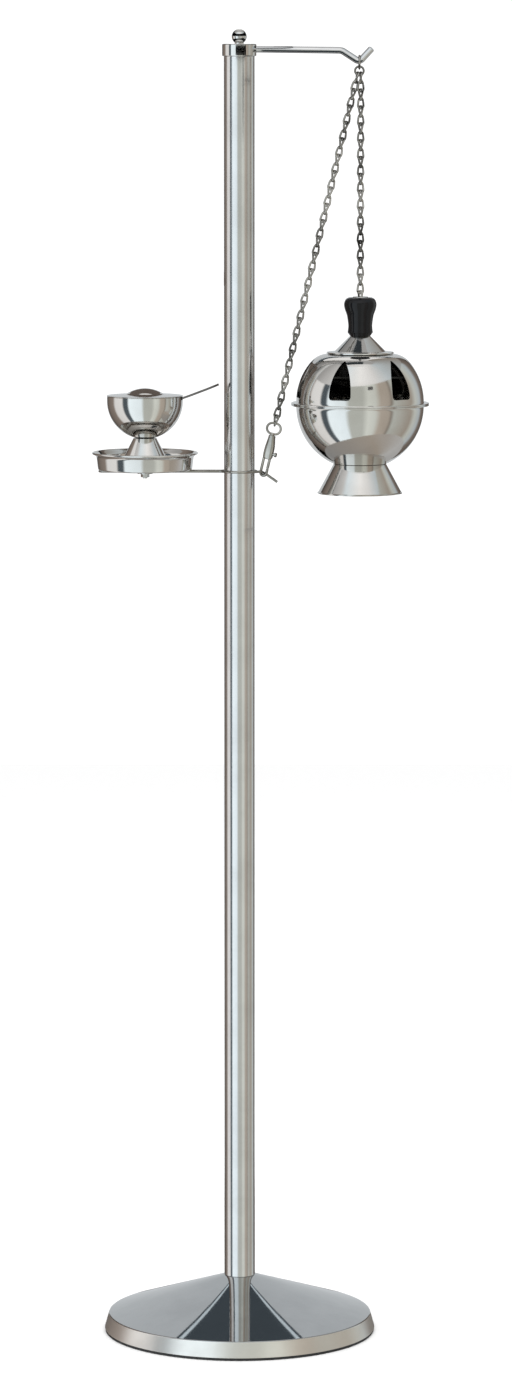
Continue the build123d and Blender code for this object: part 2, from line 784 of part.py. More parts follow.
with BuildPart() as bail_rivets:
    for side in (-1, 1):
        along = Plane(origin=(CX, 0, RIVET_Z), z_dir=(side, 0, 0))
        with BuildSketch(along.offset(BAIL_OUT - BAIL_T - 1.2)):
            Circle(3.0)
        extrude(amount=1.2)
        with BuildSketch(along.offset(BAIL_OUT - BAIL_T)):
            Circle(RIVET_R)
        extrude(amount=58.15 - BAIL_OUT + BAIL_T)
        with BuildSketch(along.offset(BAIL_OUT)):
            Circle(2.4)
        extrude(amount=0.8)

last_wire = strand_z - PITCH * (DROP_LINKS - 1) - 2 * LINK_END
EYE_R = 3.3
eye_mid = last_wire - (EYE_R - WIRE_R) + WIRE_R + GAP

with BuildPart() as swivel_pin:
    with Locations(upright(CX)):
        with Locations((0, eye_mid)):
            add(Solid.make_torus(EYE_R, WIRE_R))
    with Locations((CX, 0, BAIL_TOP - BAIL_T - GAP - 1.6)):
        Cylinder(3.2, 1.6, align=(Align.CENTER, Align.CENTER, Align.MIN))
        Cylinder(
            1.6,
            eye_mid - EYE_R - (BAIL_TOP - BAIL_T - GAP - 1.6),
            align=(Align.CENTER, Align.CENTER, Align.MIN),
        )

# ---- lid, cap cone and knob ---------------------------------------------------------------------

LID_Z = 874.0  # centre of the lid's ball
SHOULDER = 38.0  # the ball's curve runs up to this angle, then turns in tighter
CROWN_R, CROWN_Z = 30.0, 918.8
LID_HOLE = 22.0
lid_rim = SEAM_Z + GAP / 2
turn_in = (-sin(radians(SHOULDER)), cos(radians(SHOULDER)))


def petal():
    """One smoke hole, in the plane that faces it: flat foot, bowed sides and a rounded point."""
    with BuildSketch(Plane.XY, mode=Mode.PRIVATE) as shape:
        with BuildLine():
            Line((-10.5, -18.8), (10.5, -18.8))
            ThreePointArc((10.5, -18.8), (9.0, 2.5), (0, 20.0))
            ThreePointArc((0, 20.0), (-9.0, 2.5), (-10.5, -18.8))
        make_face()
        fillet(shape.vertices().group_by(Axis.Y)[0], 4.0)
        fillet(shape.vertices().group_by(Axis.Y)[-1], 2.6)
    return shape.sketch


PETAL_LIFT = 25.0  # height of a hole's middle above the seam, as seen from the ball's centre
PETAL_FIRST = -20.0  # the first hole's direction, from the front (-Y) towards +X

with BuildPart() as censer_lid:
    shoulder_out = at_angle(BALL_R, SHOULDER, LID_Z)
    shoulder_in = at_angle(bowl_in, SHOULDER, LID_Z)
    with BuildSketch(upright(CX)):
        with BuildLine():
            Polyline(
                (bowl_in, LID_Z),
                (bowl_in, lid_rim),
                (FLANGE_R, lid_rim),
                (FLANGE_R, lid_rim + FLANGE_T - 0.6),
                (FLANGE_R - 0.6, lid_rim + FLANGE_T - 0.15),
                (BALL_R, LID_Z),
            )
            ThreePointArc((BALL_R, LID_Z), at_angle(BALL_R, SHOULDER / 2, LID_Z), shoulder_out)
            TangentArc(shoulder_out, (CROWN_R, CROWN_Z), tangent=turn_in)
            Polyline(
                (CROWN_R, CROWN_Z),
                (LID_HOLE, CROWN_Z + 0.5),
                (LID_HOLE, CROWN_Z + 0.5 - SKIN),
                (CROWN_R, CROWN_Z - SKIN),
            )
            TangentArc(shoulder_in, (CROWN_R, CROWN_Z - SKIN), tangent=turn_in)
            ThreePointArc(shoulder_in, at_angle(bowl_in, SHOULDER / 2, LID_Z), (bowl_in, LID_Z))
        make_face()
    revolve(axis=axis_at(CX))
    for hole in range(6):
        turn = radians(PETAL_FIRST + 60 * hole)
        facing = Vector(
            sin(turn) * cos(radians(PETAL_LIFT)),
            -cos(turn) * cos(radians(PETAL_LIFT)),
            sin(radians(PETAL_LIFT)),
        )
        across = Vector(cos(turn), sin(turn), 0)
        inside = Plane(origin=Vector(CX, 0, SEAM_Z) + facing * 36, x_dir=across, z_dir=facing)
        extrude(inside.location * petal(), amount=30, dir=facing, mode=Mode.SUBTRACT)

CAP_BRIM = 31.0
cap_low = CROWN_Z + 0.5
KNOB_Z = 935.2
BUSH_OUT = 6.0
with BuildPart() as lid_cap:
    revolve(
        outline(
            [
                (BUSH_OUT, KNOB_Z),
                (9.6, KNOB_Z),
                (24.2, cap_low + 1.4),
                (CAP_BRIM - 0.5, cap_low + 1.4),
                (CAP_BRIM, cap_low + 0.9),
                (CAP_BRIM, cap_low),
                (23.6, cap_low),
                (9.1, KNOB_Z - 1.2),
                (BUSH_OUT, KNOB_Z - 1.2),
            ],
            CX,
        ),
        axis=axis_at(CX),
    )

KNOB_TOP = 970.8
with BuildPart() as knob:
    with BuildSketch(upright(CX)):
        with BuildLine():
            Polyline((BUSH_OUT, KNOB_TOP), (BUSH_OUT, KNOB_Z), (9.3, KNOB_Z), (11.7, 938.6))
            Spline(
                (11.7, 938.6),
                (11.15, 946.0),
                (12.3, 954.0),
                (14.9, 962.0),
                (14.6, 966.6),
                (10.6, KNOB_TOP),
                tangents=[(-0.15, 1), (-1, 0.08)],
            )
            Line((10.6, KNOB_TOP), (BUSH_OUT, KNOB_TOP))
        make_face()
    revolve(axis=axis_at(CX))

with BuildPart() as lid_bush:
    revolve(
        outline(
            [
                (BUSH_R, 929.0),
                (BUSH_OUT, 929.0),
                (BUSH_OUT, KNOB_TOP),
                (7.4, KNOB_TOP),
                (6.8, KNOB_TOP + 0.8),
                (BUSH_R, KNOB_TOP + 0.8),
            ],
            CX,
        ),
        axis=axis_at(CX),
    )

with BuildPart() as bush_nut:
    with BuildSketch(Plane.XY.offset(KNOB_Z - 1.2 - 3.4)):
        with Locations((CX, 0)):
            RegularPolygon(7.0, 6, major_radius=False)
            Circle(BUSH_OUT, mode=Mode.SUBTRACT)
    extrude(amount=3.4)

# ---- write every piece --------------------------------------------------------------------------

pieces = {
    "base_shell": base_shell,
    "base_weight": base_weight,
    "base_pad": base_pad,
    "pole": pole,
    "pole_foot_plug": pole_foot_plug,
    "base_bolt": base_bolt,
    "base_washer": base_washer,
    "pole_top_plug": pole_top_plug,
    "top_cap": top_cap,
    "finial": finial,
    "hook_arm": hook_arm,
    "wire_bracket": wire_bracket,
    "tray": tray,
    "tray_screw": tray_screw,
    "tray_washer": tray_washer,
    "tray_nut": tray_nut,
    "hook_link": hook_link,
    "chain_ring": chain_ring,
    "tie_chain": tie_chain,
    "snap_eye": snap_eye,
    "snap_body": snap_body,
    "snap_bolt": snap_bolt,
    "snap_spring": snap_spring,
    "lead_links": lead_links,
    "drop_chain": drop_chain,
    "swivel_pin": swivel_pin,
    "bail": bail,
    "bail_rivets": bail_rivets,
    "censer_bowl": censer_bowl,
    "censer_foot": censer_foot,
    "foot_screw": foot_screw,
    "foot_nut": foot_nut,
    "fire_cup": fire_cup,
    "censer_lid": censer_lid,
    "lid_cap": lid_cap,
    "knob": knob,
    "lid_bush": lid_bush,
    "bush_nut": bush_nut,
    "boat_bowl": boat_bowl,
    "boat_foot": boat_foot,
    "boat_rivet": boat_rivet,
    "boat_lid": boat_lid,
    "spoon": spoon,
}
for name, piece in pieces.items():
    save(piece, name)

print(f"swing pivot z {strand_z:.3f}, front pivot z {strand_z - PITCH * LEAD_LINKS:.3f}")
print(f"snap axis {sin(radians(TIE_ANGLE)):.4f}, 0, {cos(radians(TIE_ANGLE)):.4f}")
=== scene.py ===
"""A thurible on its stand in a plain studio: the looks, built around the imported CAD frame.

The frame is in metres. Shapes here are written in millimetres in the same frame, and scaled by MM.
"""

import json
from math import asin, atan2, cos, degrees, hypot, pi, radians, sin, sqrt, tan

import bmesh
import bpy
from mathutils import Matrix, Vector


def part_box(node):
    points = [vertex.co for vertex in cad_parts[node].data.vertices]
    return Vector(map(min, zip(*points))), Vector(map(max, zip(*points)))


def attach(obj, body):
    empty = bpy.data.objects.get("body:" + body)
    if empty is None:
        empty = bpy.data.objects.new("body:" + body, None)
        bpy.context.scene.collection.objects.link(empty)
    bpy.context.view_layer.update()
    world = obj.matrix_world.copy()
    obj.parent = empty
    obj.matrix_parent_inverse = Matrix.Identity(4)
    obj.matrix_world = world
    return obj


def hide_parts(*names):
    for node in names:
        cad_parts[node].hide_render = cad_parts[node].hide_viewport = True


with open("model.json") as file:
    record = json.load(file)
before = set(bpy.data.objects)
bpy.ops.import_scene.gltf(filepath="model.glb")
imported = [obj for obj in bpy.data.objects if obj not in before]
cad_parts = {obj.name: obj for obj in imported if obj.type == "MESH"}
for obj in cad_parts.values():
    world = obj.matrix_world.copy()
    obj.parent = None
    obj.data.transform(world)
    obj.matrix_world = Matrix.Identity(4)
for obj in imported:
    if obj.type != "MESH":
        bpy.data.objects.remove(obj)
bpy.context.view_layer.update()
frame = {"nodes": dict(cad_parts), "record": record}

MM = 0.001
CREASE = radians(32)  # an edge that turns more than this stays sharp
record = frame["record"]
body_of = {n: body for body, nodes in record["behaviour"]["bodies"].items() for n in nodes}
slot_of = {part["node"]: part["material_slot"] for part in record["subparts"]}


def node_box(node):
    """A CAD node's lowest and highest corners, in millimetres."""
    low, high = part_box(node)
    return Vector(low) / MM, Vector(high) / MM


def middle_x(node):
    low, high = node_box(node)
    return (low.x + high.x) / 2


CX = middle_x("censer_bowl")
TX = middle_x("tray")
HOOK_X = middle_x("hook_link")

# ---- materials ----------------------------------------------------------------------------------


def new_material(name, **sockets):
    """A principled material, its node tree's adder and its shader."""
    material = bpy.data.materials.new(name)
    material.use_nodes = True
    tree = material.node_tree
    shader = tree.nodes["Principled BSDF"]
    for socket, value in sockets.items():
        shader.inputs[socket.replace("_", " ")].default_value = value

    def add(kind, **inputs):
        node = tree.nodes.new("ShaderNode" + kind)
        for socket, value in inputs.items():
            target = node.inputs[socket.replace("_", " ")]
            if isinstance(value, bpy.types.NodeSocket):
                tree.links.new(value, target)
            else:
                target.default_value = value
        return node

    return material, add, shader, tree.links


def tint(add, amount, dark, light):
    """A colour between two, by an amount from 0 to 1."""
    mix = add("Mix")
    mix.data_type = "RGBA"
    colours = [socket for socket in mix.inputs if socket.type == "RGBA"]
    mix.id_data.links.new(amount, mix.inputs[0])
    colours[0].default_value, colours[1].default_value = (*dark, 1), (*light, 1)
    return next(socket for socket in mix.outputs if socket.type == "RGBA")


def metal(name, dark, light, rough, coords, stretch, bump):
    """Metal with grain drawn out by stretch, and hand smudges that dull it in places; on the chain,
    whose dark and light are far apart, these patches are painted reflections.
    """
    material, add, shader, links = new_material(name, Metallic=1.0)
    where = add("TexCoord")
    drawn = add("Mapping", Vector=where.outputs[coords], Scale=stretch)
    grain = add("TexNoise", Vector=drawn.outputs["Vector"], Scale=1.0, Detail=3.0)
    smudge_and_glint = add("TexNoise", Vector=where.outputs["Object"], Scale=28.0, Detail=4.0, Roughness=0.6)
    patches = add("MapRange", Value=smudge_and_glint.outputs["Fac"], From_Min=0.42, From_Max=0.66)
    colour = tint(add, patches.outputs["Result"], light, dark)
    dull = add("MapRange", Value=grain.outputs["Fac"], To_Min=rough[0], To_Max=rough[1])
    worn = add("MapRange", Value=patches.outputs["Result"], To_Min=1.0, To_Max=1.2)
    both = add("Math")
    both.operation = "MULTIPLY"
    links.new(dull.outputs["Result"], both.inputs[0])
    links.new(worn.outputs["Result"], both.inputs[1])
    relief = add("Bump", Strength=bump, Distance=0.0002, Height=grain.outputs["Fac"])
    links.new(colour, shader.inputs["Base Color"])
    links.new(both.outputs["Value"], shader.inputs["Roughness"])
    links.new(relief.outputs["Normal"], shader.inputs["Normal"])
    return material


def matt(name, dark, light, rough, scale, bump, **sockets):
    """A coloured, non-metal finish with fine mottling."""
    material, add, shader, links = new_material(name, **sockets)
    where = add("TexCoord")
    mottle = add("TexNoise", Vector=where.outputs["Object"], Scale=scale, Detail=4.0)
    links.new(tint(add, mottle.outputs["Fac"], dark, light), shader.inputs["Base Color"])
    dull = add("MapRange", Value=mottle.outputs["Fac"], To_Min=rough[0], To_Max=rough[1])
    links.new(dull.outputs["Result"], shader.inputs["Roughness"])
    relief = add("Bump", Strength=bump, Distance=0.0003, Height=mottle.outputs["Fac"])
    links.new(relief.outputs["Normal"], shader.inputs["Normal"])
    return material


# How a grain is drawn out along U, V and the third axis.
SPUN = (3.0, 900.0, 1.0)  # rings round a turned piece
DRAWN = (260.0, 5.0, 1.0)  # lines along a piece
WIRE = (5.0, 240.0, 1.0)  # bands across a wire
CAST = (420.0, 420.0, 420.0)  # even in all directions
WARM, PALE = (0.66, 0.64, 0.61), (0.72, 0.705, 0.68)

spun_steel = metal("spun_steel", WARM, PALE, (0.05, 0.10), "UV", SPUN, 0.05)
bright_steel = metal("bright_steel", WARM, PALE, (0.06, 0.12), "Object", CAST, 0.03)
base_steel = metal(
    "base_steel", (0.52, 0.53, 0.535), (0.56, 0.57, 0.575), (0.02, 0.035), "UV", SPUN, 0.01
)
rim_steel = metal(
    "rim_steel", (0.80, 0.77, 0.73), (0.86, 0.83, 0.79), (0.28, 0.36), "UV", SPUN, 0.03
)
pole_steel = metal(
    "pole_steel", (0.67, 0.66, 0.65), (0.73, 0.72, 0.71), (0.10, 0.17), "UV", DRAWN, 0.08
)
rod_steel = metal(
    "rod_steel", (0.64, 0.65, 0.66), (0.74, 0.74, 0.74), (0.05, 0.10), "UV", DRAWN, 0.03
)
# The chain's colour runs from near black to pale grey by patch: painted reflections, dark and
# bright links standing in for what the wire mirrors.
chain_steel = metal(
    "chain_steel", (0.015, 0.014, 0.012), (0.48, 0.46, 0.425), (0.05, 0.10), "UV", WIRE, 0.05
)
spoon_steel = metal(
    "spoon_steel", (0.06, 0.052, 0.045), (0.16, 0.145, 0.13), (0.12, 0.2), "UV", DRAWN, 0.1
)
dark_steel = metal(
    "dark_steel", (0.24, 0.23, 0.21), (0.50, 0.48, 0.44), (0.08, 0.15), "Object", CAST, 0.05
)
plain_steel = metal(
    "plain_steel", (0.50, 0.49, 0.47), (0.64, 0.63, 0.61), (0.14, 0.26), "Object", CAST, 0.06
)
sooty_steel = metal(
    "sooty_steel", (0.03, 0.03, 0.03), (0.07, 0.068, 0.065), (0.30, 0.45), "Object", CAST, 0.06
)
knob_black = matt(
    "knob_black",
    (0.004, 0.004, 0.005),
    (0.008, 0.008, 0.009),
    (0.05, 0.09),
    300.0,
    0.02,
    Specular_IOR_Level=0.25,
)
iron = matt("iron", (0.05, 0.05, 0.05), (0.12, 0.115, 0.11), (0.6, 0.85), 260.0, 0.6, Metallic=0.3)
rubber = matt("rubber", (0.010, 0.010, 0.010), (0.030, 0.030, 0.032), (0.55, 0.75), 500.0, 0.3)

# The CAD nodes that stay in view get their slot's material, apart from a few darker ones.
carried = {
    "polished_steel": bright_steel,
    "satin_steel": bright_steel,
    "plain_steel": plain_steel,
    "chain_steel": dark_steel,
    "black_knob": knob_black,
    "cast_iron": iron,
    "black_rubber": rubber,
}
darker = {
    # painted shade: the wire bracket lies in the tray's shadow, so it is given darker steel
    "wire_bracket": dark_steel,
    "bail": sooty_steel,
    "bail_rivets": sooty_steel,
    "fire_cup": sooty_steel,
}
for node, shape in frame["nodes"].items():
    shape.data.materials.clear()
    shape.data.materials.append(darker.get(node, carried[slot_of[node]]))

# ---- building in mesh code ----------------------------------------------------------------------


def even_shading(piece):
    """Smooth shading with creases kept, and normals that favour the larger faces."""
    piece.data.shade_smooth()
    piece.data.set_sharp_from_angle(angle=CREASE)
    piece.modifiers.new("even shading", "WEIGHTED_NORMAL").keep_sharp = True


def build(name, vertices, faces, uvs=None):
    """A smooth-shaded object from vertices in millimetres."""
    mesh = bpy.data.meshes.new(name)
    mesh.from_pydata([Vector(v) * MM for v in vertices], [], faces)
    if uvs:
        layer = mesh.uv_layers.new(name="UVMap")
        for loop, uv in zip(layer.data, uvs):
            loop.uv = uv
    work = bmesh.new()
    work.from_mesh(mesh)
    bmesh.ops.recalc_face_normals(work, faces=work.faces)
    work.to_mesh(mesh)
    work.free()
    piece = bpy.data.objects.new(name, mesh)
    bpy.context.collection.objects.link(piece)
    even_shading(piece)
    return piece


def skin(rings, closed_along=False):
    """Faces and UVs between rings of vertex numbers; v is each ring's place along the piece."""
    faces, uvs = [], []
    steps = len(rings[0][0])
    pairs = list(zip(rings, rings[1:]))
    if closed_along:
        pairs.append((rings[-1], (rings[0][0], rings[-1][1] * 2 - rings[-2][1])))
    for (here, here_v), (there, there_v) in pairs:
        for n in range(steps):
            m = (n + 1) % steps
            corners = [
                (here[n], n / steps, here_v),
                (here[m], (n + 1) / steps, here_v),
                (there[m], (n + 1) / steps, there_v),
                (there[n], n / steps, there_v),
            ]
            kept = [c for i, c in enumerate(corners) if c[0] != corners[i - 1][0]]
            if len({c[0] for c in kept}) > 2:
                faces.append([c[0] for c in kept])
                uvs += [(c[1], c[2]) for c in kept]
    return faces, uvs


def turned(name, outline, x=0.0, steps=160):
    """A closed outline of (radius, height) turned about the upright axis at x."""
    vertices, rings, along = [], [], 0.0
    for n, (radius, height) in enumerate(outline):
        if n:
            along += MM * hypot(radius - outline[n - 1][0], height - outline[n - 1][1])
        if radius < 1e-6:
            rings.append(([len(vertices)] * steps, along))
            vertices.append((x, 0, height))
            continue
        rings.append((list(range(len(vertices), len(vertices) + steps)), along))
        for step in range(steps):
            angle = 2 * pi * step / steps
            vertices.append((x + radius * cos(angle), radius * sin(angle), height))
    on_axis = outline[0][0] < 1e-6 and outline[-1][0] < 1e-6
    return build(name, vertices, *skin(rings, closed_along=not on_axis))


def arc(centre, radius, start, end, steps=24):
    """Points on a circle, from one angle to another in degrees."""
    for n in range(steps + 1):
        angle = radians(start + (end - start) * n / steps)
        yield centre[0] + radius * cos(angle), centre[1] + radius * sin(angle)


def dome(edge, top, steps=14):
    """Points from an edge (radius, height) up or down to the axis at height top."""
    rise = abs(top - edge[1])
    ball = (edge[0] ** 2 + rise**2) / (2 * rise)
    reach = asin(edge[0] / ball)
    sign = 1 if top > edge[1] else -1
    for n in range(steps + 1):
        angle = reach * (1 - n / steps)
        yield ball * sin(angle), top - sign * ball * (1 - cos(angle))


def rounded(points, radii, steps=8, loop=False):
    """A path whose corners are rounded to these radii; one number does for every corner."""
    points = [Vector(p) for p in points]
    corners = range(len(points)) if loop else range(1, len(points) - 1)
    radii = [radii] * len(corners) if isinstance(radii, (int, float)) else radii
    path = [] if loop else [points[0]]
    for n, radius in zip(corners, radii):
        corner = points[n]
        into = (corner - points[n - 1]).normalized()
        out = (points[(n + 1) % len(points)] - corner).normalized()
        turn = into.angle(out)
        if radius == 0 or turn < 0.02:
            path.append(corner)
            continue
        middle = corner + (out - into).normalized() * radius / cos(turn / 2)
        start = corner - into * radius * tan(turn / 2) - middle
        end = corner + out * radius * tan(turn / 2) - middle
        for step in range(steps + 1):
            path.append(middle + start.slerp(end, step / steps).normalized() * radius)
    return path if loop else path + [points[-1]]


def soft(points, radius, steps=3):
    """A closed (radius, height) outline with its corners eased."""
    eased = rounded([(r, z, 0) for r, z in points], radius, steps, loop=True)
    return [(p.x, p.y) for p in eased]


def wire_rings(path, radius, closed, sides, first):
    """Vertices and rings of a round wire along a path; open ends are rounded over."""
    path = [Vector(p) for p in path]
    sizes = [radius] * len(path)
    if not closed:
        for end, after in ((0, 1), (-1, -2)):
            tip, inward = path[end], (path[after] - path[end]).normalized()
            for back, size in ((0.35, 0.97), (0.12, 0.8), (0.0, 0.55)):
                spot = tip + inward * radius * back
                at = 0 if end == 0 else len(path)
                if back == 0.35:
                    path[end], sizes[end] = spot, radius * size
                else:
                    path.insert(at, spot)
                    sizes.insert(at, radius * size)
    vertices, rings, along = [], [], 0.0
    side = None
    for n, (point, size) in enumerate(zip(path, sizes)):
        ahead = path[(n + 1) % len(path)] if closed or n + 1 < len(path) else point
        behind = path[n - 1] if closed or n else point
        forward = (ahead - behind).normalized()
        side = side or forward.orthogonal()
        side = (side - forward * side.dot(forward)).normalized()
        across = forward.cross(side)
        if n:
            along += MM * (point - path[n - 1]).length
        start = first + len(vertices)
        rings.append((list(range(start, start + sides)), along))
        for step in range(sides):
            angle = 2 * pi * step / sides
            vertices.append(point + (side * cos(angle) + across * sin(angle)) * size)
    return vertices, rings


def wires(name, paths, radius, closed=False, sides=20):
    """One object of round wire along one or more paths."""
    vertices, faces, uvs = [], [], []
    for path in paths:
        points, rings = wire_rings(path, radius, closed, sides, len(vertices))
        vertices += points
        more_faces, more_uvs = skin(rings, closed_along=closed)
        faces += more_faces
        uvs += more_uvs
        if not closed:
            for ring, along in (rings[0], rings[-1]):
                faces.append(ring)
                uvs += [(n / sides, along) for n in range(sides)]
    return build(name, vertices, faces, uvs)


def show(piece, node, material):
    """Puts a finished piece in place of its CAD node."""
    piece.data.materials.append(material)
    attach(piece, body_of[node])
    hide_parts(node)


def cut(piece, *cutters):
    """Cuts shapes out of a piece, then removes them."""
    for cutter in cutters:
        modifier = piece.modifiers.new("cut", "BOOLEAN")
        modifier.operation, modifier.object = "DIFFERENCE", cutter
    bpy.context.view_layer.update()
    graph = bpy.context.evaluated_depsgraph_get()
    result = bpy.data.meshes.new_from_object(piece.evaluated_get(graph))
    piece.modifiers.clear()
    piece.data = result
    result.materials.clear()
    even_shading(piece)
    for cutter in cutters:
        bpy.data.objects.remove(cutter)


def neck_drop(radius, neck):
    """How far below a ball's centre its surface is as narrow as the neck."""
    return sqrt(radius**2 - neck**2)


def neck_angle(radius, neck):
    """The angle in degrees, below level, of that place on the ball."""
    return -degrees(atan2(neck_drop(radius, neck), neck))


def prism(name, place, outline, low, high):
    """A solid between two heights of an outline, in the frame that place gives."""
    count = len(outline)
    vertices = [place @ Vector((x, y, z)) for z in (low, high) for x, y in outline]
    faces = [list(range(count)), list(range(count, 2 * count))]
    faces += [[n, (n + 1) % count, (n + 1) % count + count, n + count] for n in range(count)]
    return build(name, vertices, faces)


# ---- base, pole, cap and arm --------------------------------------------------------------------

BASE_TOP, POLE_TOP, CAP_TOP = 52.4, 1191.5, 1202.8
POLE_R, POLE_IN = 14.2875, 13.09
RIM_TOP = 16.3  # the base's turned-down rim is below this height

base_outline = soft(
    [
        (4.2, BASE_TOP),
        (14.5, BASE_TOP),
        (123.0, 16.9),
        (127.0, 2.5),
        (125.8, 2.5),
        (121.8, 15.9),
        (14.3, BASE_TOP - 1.2),
        (4.2, BASE_TOP - 1.2),
    ],
    [0, 0.4, 1.8, 0.3, 0.3, 0.6, 0.4, 0],
)
base_cover = turned("base_cover", base_outline, steps=256)
show(base_cover, "base_shell", base_steel)
base_cover.data.materials.append(rim_steel)
for face in base_cover.data.polygons:
    face.material_index = int(face.center.z < RIM_TOP * MM)

pole_outline = soft(
    [(POLE_IN, BASE_TOP), (POLE_R, BASE_TOP), (POLE_R, POLE_TOP), (POLE_IN, POLE_TOP)],
    [0.2, 0.7, 0.3, 0.2],
    3,
)
show(turned("pole_tube", pole_outline, steps=128), "pole", pole_steel)

cap_outline = soft(
    [(3.05, POLE_TOP), (15.9, POLE_TOP), (15.9, CAP_TOP), (3.05, CAP_TOP)], [0, 0.8, 0.8, 0], 4
)
show(turned("cap_collar", cap_outline), "top_cap", spun_steel)

FINIAL_Z, FINIAL_R, FINIAL_NECK = 1209.4, 6.95, 4.1
finial_outline = [(0, 1177.5), (2.6, 1177.5), (3.0, 1178.0), (3.0, CAP_TOP), (FINIAL_NECK, CAP_TOP)]
finial_outline += arc((0, FINIAL_Z), FINIAL_R, neck_angle(FINIAL_R, FINIAL_NECK), 90, 28)
show(turned("ball_finial", finial_outline, steps=96), "finial", spun_steel)

ROD_R = 3.175
HOOK_CORNER = 1187.6 - 4.5 * (1 / cos(radians(39)) - 1)
arm_path = rounded(
    [(7.2, 0, 1198.0), (93.8, 0, 1196.9), (HOOK_X, 0, HOOK_CORNER), (121.8, 0, HOOK_CORNER + 12.6)],
    [9.0, 4.5],
    14,
)
show(wires("hook_rod", [arm_path], ROD_R, sides=40), "hook_arm", rod_steel)

# ---- chain --------------------------------------------------------------------------------------

LINK_END, LINK_HALF, LINK_WIRE, PITCH = 4.95, 2.65, 1.0, 7.7
LINK_TWIST = 30.0
LEAD_LINKS, DROP_LINKS, TIE_LINKS = 3, 35, 43
TIE_LEAN = radians(13.24)


def loop_path(half_width, half_length, twist=0.0, steps=12):
    """A closed ring of wire about the origin, longer upright than across, its ends turned apart."""
    straight = half_length - half_width
    points = list(arc((0, straight), half_width, 0, 180, steps))
    points += list(arc((0, -straight), half_width, 180, 360, steps))
    if straight > 0.5:
        gaps = [(-half_width, z * straight) for z in (0.5, 0, -0.5)]
        points = points[: steps + 1] + gaps + points[steps + 1 :]
        points += [(half_width, z * straight) for z in (-0.5, 0, 0.5)]
    turned_points = []
    for across, height in points:
        angle = radians(twist) * height / half_length
        turned_points.append(Vector((across * cos(angle), across * sin(angle), height)))
    return turned_points


def strand(top, lean, turns, first=0):
    """Paths of the links of a strand that hangs from the middle of its first link's upper wire."""
    paths = []
    for n, turn in enumerate(turns):
        if n >= first:
            down = LINK_END + PITCH * n
            place = (
                Matrix.Translation((top[0] - down * sin(lean), 0, top[1] - down * cos(lean)))
                @ Matrix.Rotation(lean, 4, "Y")
                @ Matrix.Rotation(radians(turn), 4, "Z")
            )
            paths.append([place @ p for p in loop_path(LINK_HALF, LINK_END, LINK_TWIST)])
    return paths


def link_turns(count):
    """Each link's turn about its strand: the first stands across the ring, the rest lie askew."""
    return [90] + [25 if n % 2 else 115 for n in range(1, count)]


def show_chain(node, paths, sides=14):
    piece = wires(node + "_wire", paths, LINK_WIRE, closed=True, sides=sides)
    show(piece, node, chain_steel)


strand_top = node_box("lead_links")[1].z - LINK_WIRE
drop_turns = link_turns(DROP_LINKS)
show_chain("lead_links", strand((CX, strand_top), 0, drop_turns[:LEAD_LINKS]))
show_chain("drop_chain", strand((CX, strand_top), 0, drop_turns, LEAD_LINKS))
tie_top = (2 * HOOK_X - CX, strand_top)
show_chain("tie_chain", strand(tie_top, TIE_LEAN, link_turns(TIE_LINKS)))


def middle_z(node):
    low, high = node_box(node)
    return (low.z + high.z) / 2


hook_link_at = Vector((HOOK_X, 0, middle_z("hook_link")))
hook_loop = [hook_link_at + Vector((0, p.x, p.z)) for p in loop_path(4.5, 5.9)]
show_chain("hook_link", [hook_loop], 20)
ring_at = Vector((HOOK_X, 0, middle_z("chain_ring")))
show_chain("chain_ring", [[ring_at + p for p in loop_path(4.0, 4.0)]], 20)

# ---- bolt snap ----------------------------------------------------------------------------------

HOOK_TO_EYE = 45.9
EYE_BELOW_CHAIN = 3.9 - 1.1
eye_down = (TIE_LINKS - 1) * PITCH + 2 * LINK_END + EYE_BELOW_CHAIN
snap_place = (
    Matrix.Translation(
        (tie_top[0] - eye_down * sin(TIE_LEAN), 0, tie_top[1] - eye_down * cos(TIE_LEAN))
    )
    @ Matrix.Rotation(TIE_LEAN, 4, "Y")
    @ Matrix.Translation((0, 0, -HOOK_TO_EYE))
    @ Matrix.Rotation(radians(-20), 4, "Z")
)


def snap_body():
    """The snap's cast body, waisted and rounded, with its hook bent from the same rod."""
    stations = [(17.0, 2.6, 1.9), (17.5, 3.7, 2.6), (19.0, 4.5, 3.0), (22.5, 4.75, 3.15)]
    stations += [(28.0, 4.6, 3.2), (32.0, 4.1, 3.2), (35.5, 3.5, 3.1), (37.6, 3.15, 3.1)]
    stations += [(38.6, 3.2, 3.2), (39.2, 3.0, 3.0), (39.5, 2.5, 2.5)]
    sides, squareness = 32, 2.7
    vertices, rings = [], []
    for s, wide, deep in stations:
        rings.append((list(range(len(vertices), len(vertices) + sides)), MM * s))
        shift = 0.4 * min(1, (39.5 - s) / 8)
        for n in range(sides):
            c, d = cos(2 * pi * n / sides), sin(2 * pi * n / sides)
            square = (abs(c) ** squareness + abs(d) ** squareness) ** (-1 / squareness)
            vertices.append(snap_place @ Vector((shift + wide * c * square, deep * d * square, s)))
    faces, uvs = skin(rings)
    for ring, along in (rings[0], rings[-1]):
        faces.append(ring)
        uvs += [(n / sides, along) for n in range(sides)]
    body = build("snap_casting", vertices, faces, uvs)
    slot = [(3.3, 20.8), (8.0, 20.8), (8.0, 30.9), (3.3, 30.9)]
    upended = snap_place @ Matrix.Rotation(radians(90), 4, "X")
    cut(body, prism("thumb_slot", upended, slot, -1.7, 1.7))
    hook = [(-2.9, 18.5), (-2.9, 11.0), (-2.9, 4.2)]
    hook += [*arc((0, 4.2), 2.9, 180, 360, 18), (2.9, 6.4), (2.9, 8.6)]
    rod = wires("snap_hook", [[snap_place @ Vector((x, 0, z)) for x, z in hook]], 1.3)
    merged = bmesh.new()
    for piece in (body, rod):
        merged.from_mesh(piece.data)
    merged.to_mesh(body.data)
    merged.free()
    bpy.data.objects.remove(rod)
    return body


show(snap_body(), "snap_body", dark_steel)

# ---- tray and incense boat ----------------------------------------------------------------------

